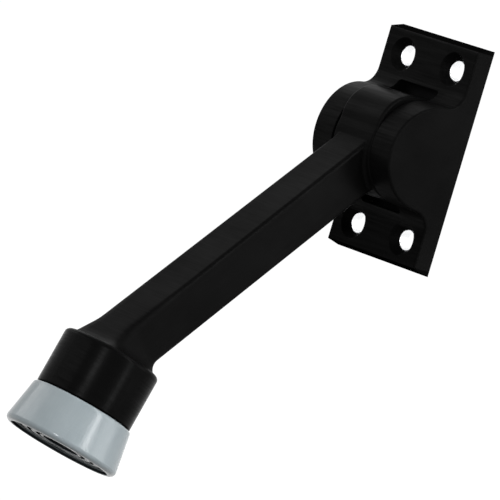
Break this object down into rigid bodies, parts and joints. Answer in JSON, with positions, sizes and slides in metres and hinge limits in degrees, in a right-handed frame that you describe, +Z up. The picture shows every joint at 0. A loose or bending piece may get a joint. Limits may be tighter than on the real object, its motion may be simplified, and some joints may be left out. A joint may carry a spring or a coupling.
{
  "type": "kickdown door holder",
  "caption": "Door holder: a plate with two lugs screws to a door, and a lever hinged between the lugs swings down so that its grey rubber tip grips the floor.",
  "frame": {"origin": "middle of the four door screws, on the flat back of the plate, which lies against the door", "axes": "+X out of the door, +Y to the right seen from the front, +Z up; the lever leans out and down in the plane Y = 0"},
  "size_m": [0.0995, 0.0356, 0.1262],
  "materials": {
    "casting": "black satin, brushed across the lugs",
    "lever": "black satin, brushed across the hub and around the cup",
    "pin": "blackened steel",
    "spring": "blued spring steel",
    "rubber": "light grey rubber with a soft sheen",
    "washer": "plain steel",
    "screw": "plain steel"
  },
  "bodies": {
    "base": {"bracket": "casting", "hinge_pin": "pin", "leaf_spring": "spring"},
    "arm": {"lever": "lever", "rubber_tip": "rubber", "tip_washer": "washer", "tip_screw": "screw"}
  },
  "joints": [
    {"name": "arm_hinge", "type": "hinge", "parent": "base", "child": "arm", "pos_m": [0.012, 0, 0.0038], "axis": [0, -1, 0], "range_deg": [-17, 135], "deforming": ["leaf_spring"]}
  ]
}
